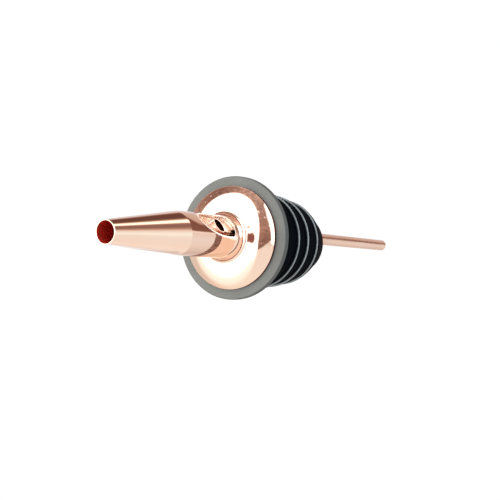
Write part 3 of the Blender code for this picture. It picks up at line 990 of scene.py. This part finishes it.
def rubber(name):
    """Black rubber with painted light: faces that look up out of the bottle,
    towards the key, are painted grey, lightest on the fins, and the sides stay black."""
    mat, nodes, surface = new_material(name)
    coords = nodes.add("ShaderNodeTexCoord").outputs
    position = coords["Object"]
    facing_up = nodes.ranged(nodes.split(coords["Normal"])["Z"], span=(0.15, 0.80),
                             smooth=True)
    on_fins = nodes.ranged(nodes.split(position)["Z"], to=(1.0, 0.0), smooth=True,
                           span=(SEAT_Z - 3.0 * MM, SEAT_Z - 2.0 * MM))
    crest = nodes.attribute("crest")
    # painted light: faces turned up towards the key are painted grey
    painted_sheen = nodes.math("MULTIPLY", facing_up, nodes.ranged(crest, span=(0.0, 1.0)))
    painted_rim_sheen = nodes.ranged(crest, span=(1.0, 2.0), to=(0.0, 0.62))
    painted_sheen = nodes.math("MAXIMUM", painted_sheen, painted_rim_sheen)
    clouds = nodes.ranged(nodes.noise(position, scale=160.0, detail=8.0),
                          span=(0.3, 0.7))
    side = nodes.mix(clouds, under=(0.0009, 0.0016, 0.0023),
                     over=(0.0018, 0.0028, 0.0038))
    # painted light: grey on the flange's lit top, lighter grey on the fins' lit tops
    top = nodes.mix(clouds, under=(0.098, 0.099, 0.088), over=(0.122, 0.122, 0.109))
    fin_sheen_grey = nodes.mix(clouds, under=(0.200, 0.215, 0.212), over=(0.270, 0.290, 0.280))
    body = nodes.mix(painted_sheen, under=side, over=nodes.mix(on_fins, under=top, over=fin_sheen_grey))
    # painted reflection: seen in the copper, the painted sheen is swapped for a browner,
    # flecked colour
    fleck = nodes.ranged(nodes.noise(position, scale=480.0, detail=4.0),
                         span=(0.36, 0.64))
    brown = nodes.mix(fleck, under=(0.088, 0.040, 0.031), over=(0.172, 0.092, 0.072))
    painted_reflection = nodes.mix(painted_sheen, under=side, over=brown)
    glossy = nodes.add("ShaderNodeLightPath").outputs["Is Glossy Ray"]
    nodes.feed(surface["Base Color"], nodes.mix(glossy, under=body, over=painted_reflection))
    grain = nodes.noise(position, scale=1900.0, detail=5.0)
    nodes.feed(surface["Roughness"],
               nodes.ranged(grain, span=(0.3, 0.7), to=(0.50, 0.62)))
    nodes.feed(surface["IOR"], nodes.ranged(painted_sheen, span=(0.0, 1.0), to=(1.03, 1.45)))
    nodes.feed(surface["Normal"], nodes.bumped(grain, 0.02 * MM, strength=0.5))
    return mat


def wear(obj, mat):
    obj.data.materials.clear()
    obj.data.materials.append(mat)


mirror_copper = copper("mirror_copper", roughness=(0.03, 0.06), peel=0.0010 * MM)
wear(dome, copper("pressed_copper", roughness=(0.03, 0.06), peel=0.0010 * MM,
                  finish_and_painted_light=painted_cap_edge_shade))
wear(spout, copper("spout_copper_plate", roughness=(0.015, 0.035), peel=0.0026 * MM,
                   finish_and_painted_light=spout_stain_and_edge_highlight))
wear(barrel, mirror_copper)
wear(breather, copper("drawn_copper", roughness=(0.24, 0.30), peel=0.0001 * MM,
                      drawn=0.0002 * MM, light=(0.90, 0.66, 0.53),
                      deep=(0.86, 0.60, 0.47), finish_and_painted_light=painted_nook_shade))
wear(scoop, copper("scoop_copper", roughness=(0.14, 0.20), peel=0.0003 * MM,
                   light=(0.990, 0.920, 0.850), deep=(0.975, 0.830, 0.720),
                   finish_and_painted_light=painted_nook_shade))
wear(stopper, rubber("matt_black_rubber"))


# -------------------------------------------------------------------- camera
# The camera looks down on the standing part and is rolled, so that the spout
# points to the left of the frame.
CAM_RIGHT = Vector((-0.635729, 0.570791, -0.519660))
CAM_UP = Vector((-0.685216, -0.727272, 0.039433))
CAM_BACK = Vector((-0.355426, 0.381148, 0.853463))
CAM_PLACE = Vector((-98.911 * MM, 109.720 * MM, 235.144 * MM + SEAT_Z))

cam_data = bpy.data.cameras.new("photo_camera")
cam_data.sensor_width = 36.0
cam_data.lens = 86.4
cam_data.clip_start = 0.01
cam_data.clip_end = 20.0
camera = link("photo_camera", cam_data)
camera.matrix_world = Matrix(
    [(CAM_RIGHT[i], CAM_UP[i], CAM_BACK[i], CAM_PLACE[i]) for i in range(3)]
    + [(0, 0, 0, 1)])
bpy.context.scene.camera = camera
bpy.context.scene.view_settings.view_transform = "Standard"


# -------------------------------------------------------------------- studio
# A white tent with a dark seam in it, drawn round two directions: the one the
# cap's middle reflects and the one the spout's axis reflects. Both are given
# as azimuth and elevation seen from the camera, azimuth 0 towards it. Round
# each, "turn" is the angle about it and "spread" the angle away from it.
CAP_VIEW = (-62.0, 4.0)
SPOUT_VIEW = (148.0, 0.0)
# the tent low down on the cap: turn in degrees, radiance
CAP_SKIRT = [
    (-180, (0.78, 0.74, 0.69)), (-150, (0.82, 0.75, 0.70)),
    (-130, (0.91, 0.84, 0.77)), (-108, (0.98, 0.97, 0.92)),
    (-88, (1.00, 1.00, 0.96)), (-50, (0.97, 0.96, 0.94)),
    (-20, (0.96, 0.94, 0.91)), (-17, (0.28, 0.16, 0.13)),
    (-5, (0.31, 0.19, 0.16)), (10, (0.42, 0.26, 0.22)),
    (45, (0.43, 0.29, 0.27)), (65, (0.54, 0.41, 0.37)),
    (88, (0.52, 0.37, 0.33)), (101, (0.44, 0.31, 0.27)),
    (113, (0.32, 0.20, 0.18)), (126, (0.24, 0.145, 0.13)),
    (141, (0.30, 0.18, 0.155)), (156, (0.42, 0.27, 0.23)),
    (167, (0.60, 0.45, 0.41)), (180, (0.78, 0.74, 0.69))]
# the key light's edge: turn, spread
CAP_EDGE = [
    (-180, 50.0), (-150, 50.5), (-110, 50.5), (-70, 49.0), (-50, 47.5),
    (-30, 45.6), (-5, 44.4), (10, 45.2), (30, 46.8), (50, 48.6), (70, 49.2),
    (92, 48.6), (110, 47.3), (130, 47.2), (155, 48.2), (180, 50.0)]
# the softness of that edge: turn, half width in degrees
CAP_SOFT = [
    (-180, 3.0), (-150, 4.0), (-70, 3.5), (-45, 2.0), (-20, 0.9), (0, 0.9),
    (60, 1.2), (150, 1.5), (180, 3.0)]
# where the skirt gives way to the white rim: turn, spread
CAP_RIM = [
    (-180, 88.0), (-16, 80.0), (-6, 60.8), (14, 59.4), (30, 57.6),
    (50, 58.4), (62, 64.0), (74, 80.0), (90, 88.0), (180, 88.0)]
# what the cone and the neck reflect: turn, radiance
CONE_WRAP = [
    (-180, (0.98, 1.04, 1.02)), (-171, (1.02, 1.18, 1.18)),
    (-158, (0.97, 1.02, 1.03)), (-148, (0.95, 0.96, 0.97)),
    (-105, (0.97, 0.95, 0.92)), (-84, (1.00, 0.98, 0.95)),
    (-69, (0.97, 0.95, 0.94)), (-55, (0.88, 0.87, 0.88)),
    (-40, (0.95, 1.07, 1.20)), (-15, (1.30, 1.40, 1.62)),
    (0, (1.20, 1.20, 1.30)), (9, (0.83, 0.78, 0.80)),
    (28, (0.76, 0.72, 0.76)), (48, (0.80, 0.74, 0.76)),
    (57, (0.51, 0.37, 0.35)), (64, (0.29, 0.15, 0.12)),
    (70, (0.16, 0.07, 0.05)), (102, (0.16, 0.08, 0.07)),
    (108, (0.38, 0.23, 0.17)), (113, (0.68, 0.50, 0.35)),
    (117, (1.60, 1.55, 1.50)), (128, (1.60, 1.60, 1.50)),
    (134, (0.46, 0.28, 0.22)), (143, (0.28, 0.16, 0.15)),
    (155, (0.33, 0.20, 0.16)), (163, (0.55, 0.38, 0.32)),
    (170, (0.89, 0.78, 0.75)), (180, (0.98, 1.04, 1.02))]
NECK_WRAP = [
    (-180, (0.86, 0.81, 0.78)), (-150, (0.90, 0.89, 0.92)),
    (-130, (0.89, 0.87, 0.86)), (-110, (0.86, 0.82, 0.80)),
    (-96, (0.81, 0.76, 0.73)), (-75, (0.74, 0.66, 0.63)),
    (-60, (0.70, 0.60, 0.56)), (0, (0.90, 0.86, 0.86)),
    (45, (0.80, 0.73, 0.76)), (62, (0.70, 0.56, 0.53)),
    (90, (0.69, 0.54, 0.48)), (118, (0.67, 0.50, 0.44)),
    (127, (0.50, 0.35, 0.29)), (134, (0.30, 0.15, 0.11)),
    (142, (0.21, 0.10, 0.075)), (166, (0.25, 0.12, 0.09)),
    (170, (0.48, 0.33, 0.28)), (173, (1.02, 0.95, 0.92)),
    (180, (0.86, 0.81, 0.78))]
TENT = (1.05, 1.05, 1.04)
TOP = (0.66, 0.55, 0.50)
RIM_WHITE = (2.4, 2.5, 2.7)
CHINK = (1.3, 1.3, 1.3)
KEY = (3.0, 3.0, 3.0)
KEY_LOW = (1.3, 1.3, 1.3)
# azimuth, elevation, half width, half height, softness, radiance
SPOTS = [
    (37, 22, 17, 30, 5.0, (2.8, 3.2, 3.8)),
    (70, 24, 16, 24, 3.0, (2.4, 3.0, 3.8)),
    (-25.2, 3.7, 3.9, 6.9, 1.3, (0.30, 0.12, 0.11)),
    (-29.5, 16.5, 1.7, 1.9, 1.2, (0.78, 0.42, 0.28))]
# the neck's bands turn on beyond this spread, by so much per degree
NECK_SHIFT_START = 33.2
NECK_SHIFT_MOST = 9.0
NECK_SHIFT_RATE = 3.4
NECK_TURN_MOST = 160.0
# spread of the seam between neck and cone: middle, swing with the turn
SEAM_SPREAD = 43.0
SEAM_SWING = 3.0
# the skirt's bands lean with the spread: spread of no lean, degrees per degree
LEAN_SPREAD = 46.0
LEAN_RATE = 1.25
# outer spread of the cap's part of the tent, and what its wide side adds
CAP_REACH = 80.0
CAP_REACH_EXTRA = 12.0


def from_camera(azimuth, elevation):
    az, el = math.radians(azimuth), math.radians(elevation)
    return (CAM_RIGHT * (math.sin(az) * math.cos(el)) + CAM_UP * math.sin(el)
            + CAM_BACK * (math.cos(az) * math.cos(el)))


class Sky(Nodes):
    """World nodes that work on the ray's direction, in degrees."""

    def __init__(self, tree):
        super().__init__(tree)
        self.ray = self.add("ShaderNodeTexCoord").outputs["Generated"]

    def dot(self, axis):
        return self.add("ShaderNodeVectorMath", {0: self.ray, 1: axis},
                        operation="DOT_PRODUCT").outputs["Value"]

    def degrees(self, operation, *values):
        return self.math("MULTIPLY", self.math(operation, *values), 180 / math.pi)

    def polar(self, view):
        """Turn and spread round a direction."""
        axis = from_camera(*view)
        up = (CAM_UP - axis * CAM_UP.dot(axis)).normalized()
        right = up.cross(axis)
        return (self.degrees("ARCTAN2", self.dot(up), self.dot(right)),
                self.degrees("ARCCOSINE", self.dot(axis)))

    def ramp(self, turn, stops, unit=None):
        """Colours by turn, or numbers, stored in the ramp as shares of unit."""
        node = self.add("ShaderNodeValToRGB",
                        {"Fac": self.math("MULTIPLY_ADD", turn, 1 / 360.0, 0.5)})
        points = node.color_ramp.elements
        points[0].position = 0.0
        points[1].position = 1.0
        while len(points) < len(stops):
            points.new(0.5)
        for point, (at, _) in zip(points, stops):
            point.position = (at + 180.0) / 360.0
        for point, (_, value) in zip(points, stops):
            if unit:
                value = (value / unit,) * 3
            point.color = (*value, 1.0)
        colour = node.outputs["Color"]
        return self.math("MULTIPLY", colour, unit) if unit else colour

    def step(self, value, edge, soft):
        """0 below the edge, 1 above it."""
        t = self.math("DIVIDE", self.math("SUBTRACT", value, edge),
                      self.math("MULTIPLY", soft, 2.0))
        return self.ranged(self.math("ADD", t, 0.5), span=(0.0, 1.0), smooth=True)

    def below(self, value, edge, soft):
        return self.math("SUBTRACT", 1.0, self.step(value, edge, soft))

    def band(self, value, start, end):
        """1 between two (edge, soft) limits."""
        return self.math("MULTIPLY", self.step(value, *start), self.below(value, *end))


def spout_light(sky, colour):
    """The part of the tent that the spout reflects."""
    turn, spread = sky.polar(SPOUT_VIEW)
    cone = sky.ramp(turn, CONE_WRAP)
    flank = sky.band(turn, start=(72.0, 14.0), end=(156.0, 10.0))
    past = sky.math("MAXIMUM", sky.math("SUBTRACT", spread, NECK_SHIFT_START), 0.0)
    shift = sky.math("MULTIPLY", sky.math("MINIMUM", past, NECK_SHIFT_MOST),
                     NECK_SHIFT_RATE)
    moved = sky.math("MINIMUM", NECK_TURN_MOST,
                     sky.math("ADD", turn, sky.math("MULTIPLY", shift, flank)))
    neck = sky.ramp(sky.math("MAXIMUM", turn, moved), NECK_WRAP)
    swing = sky.math("COSINE", sky.math("MULTIPLY", turn, math.pi / 180))
    seam = sky.math("SUBTRACT", SEAM_SPREAD, sky.math("MULTIPLY", SEAM_SWING, swing))
    wrap = sky.mix(sky.step(spread, edge=seam, soft=0.8), under=neck, over=cone)
    return sky.mix(sky.step(spread, edge=62.0, soft=4.0), under=wrap, over=colour)


def cap_skirt(sky, turn, spread):
    lean = sky.math("MULTIPLY", sky.math("SUBTRACT", spread, LEAN_SPREAD), LEAN_RATE)
    near = sky.below(turn, edge=15.0, soft=15.0)
    skirt = sky.ramp(sky.math("SUBTRACT", turn, sky.math("MULTIPLY", lean, near)),
                     CAP_SKIRT)
    # the dark side of the tent is cloth: mottled, with a few bright chinks
    dim = sky.band(turn, start=(-12.0, 4.0), end=(158.0, 6.0))
    mottle = sky.ranged(sky.noise(sky.ray, scale=17.0, detail=6.0, roughness=0.78),
                        span=(0.38, 0.62), to=(0.66, 1.36))
    cloth = sky.mix(dim, under=skirt, over=mottle, blend="MULTIPLY")
    chinks = sky.ranged(sky.noise(sky.ray, scale=15.0, detail=1.0), span=(0.70, 0.74))
    return sky.mix(sky.math("MULTIPLY", chinks, dim), under=cloth, over=CHINK)


def cap_light(sky, colour):
    """The part of the tent that the cap reflects, with the key in its middle."""
    turn, spread = sky.polar(CAP_VIEW)
    rim = sky.step(spread, edge=sky.ramp(turn, CAP_RIM, unit=90.0), soft=1.2)
    white = sky.mix(rim, under=cap_skirt(sky, turn, spread), over=RIM_WHITE)
    wide = sky.band(turn, start=(-25.0, 5.0), end=(70.0, 10.0))
    reach = sky.math("ADD", CAP_REACH, sky.math("MULTIPLY", CAP_REACH_EXTRA, wide))
    colour = sky.mix(sky.step(spread, edge=reach, soft=3.0), under=white, over=colour)
    low = sky.mix(sky.step(spread, edge=40.0, soft=5.0), under=KEY, over=KEY_LOW)
    side = sky.band(turn, start=(-172.0, 6.0), end=(-30.0, 15.0))
    inner = sky.mix(side, under=KEY, over=low)
    edge = sky.step(spread, edge=sky.ramp(turn, CAP_EDGE, unit=90.0),
                    soft=sky.ramp(turn, CAP_SOFT, unit=30.0))
    return sky.mix(edge, under=inner, over=colour)


def spot_lights(sky, elevation, colour):
    azimuth = sky.degrees("ARCTAN2", sky.dot(CAM_RIGHT), sky.dot(CAM_BACK))
    for at_az, at_el, wide, tall, soft, tint in SPOTS:
        across = sky.math("DIVIDE", sky.math("SUBTRACT", azimuth, at_az), wide)
        along = sky.math("DIVIDE", sky.math("SUBTRACT", elevation, at_el), tall)
        reach = sky.math("SQRT", sky.math("ADD", sky.math("MULTIPLY", across, across),
                                          sky.math("MULTIPLY", along, along)))
        colour = sky.mix(sky.step(reach, edge=1.0, soft=soft / wide),
                         under=tint, over=colour)
    return colour


def studio():
    """The tent lights the part; the camera sees plain white."""
    world = bpy.data.worlds.new("studio")
    bpy.context.scene.world = world
    world.use_nodes = True
    world.node_tree.nodes.clear()
    sky = Sky(world.node_tree)
    elevation = sky.degrees("ARCSINE", sky.dot(CAM_UP))
    colour = sky.mix(sky.step(elevation, edge=66.0, soft=8.0), under=TENT, over=TOP)
    colour = spout_light(sky, colour)
    colour = cap_light(sky, colour)
    colour = spot_lights(sky, elevation, colour)
    lit = sky.add("ShaderNodeBackground", {"Color": colour})
    plain = sky.add("ShaderNodeBackground", {"Color": (1, 1, 1)})
    seen = sky.add("ShaderNodeLightPath").outputs["Is Camera Ray"]
    mixer = sky.add("ShaderNodeMixShader",
                    {0: seen, 1: lit.outputs[0], 2: plain.outputs[0]})
    sky.add("ShaderNodeOutputWorld", {"Surface": mixer.outputs[0]})


studio()
bpy.context.scene.cycles.max_bounces = 20
bpy.context.scene.cycles.glossy_bounces = 16


def key_light():
    """A square softbox in the direction the cap's middle reflects."""
    data = bpy.data.lights.new("key_softbox", "AREA")
    data.shape = "RECTANGLE"
    data.size = 0.5
    data.size_y = 0.5
    data.energy = 1.0
    distance = 0.9
    key = link("key_softbox", data)
    direction = from_camera(*CAP_VIEW)
    key.location = Vector((0, 0, SEAT_Z)) + direction * distance
    key.rotation_euler = direction.to_track_quat("Z", "Y").to_euler()
    key.visible_glossy = False


def white_floor():
    """A pale sweep that the camera sees as plain white."""
    mesh = bpy.data.meshes.new("floor")
    bm = bmesh.new()
    bmesh.ops.create_grid(bm, x_segments=24, y_segments=24, size=3.0)
    bm.to_mesh(mesh)
    bm.free()
    floor = link("floor", mesh)
    floor.location.z = -0.0005
    mat, nodes, _ = new_material("white_sweep")
    glow = nodes.add("ShaderNodeEmission", {"Color": (1, 1, 1), "Strength": 1.02})
    nodes.feed(nodes.tree.nodes["Material Output"].inputs["Surface"], glow.outputs[0])
    mesh.materials.append(mat)
    floor.visible_glossy = False
    floor.visible_diffuse = False
    floor.visible_shadow = False
    return floor


key_light()
white_floor()
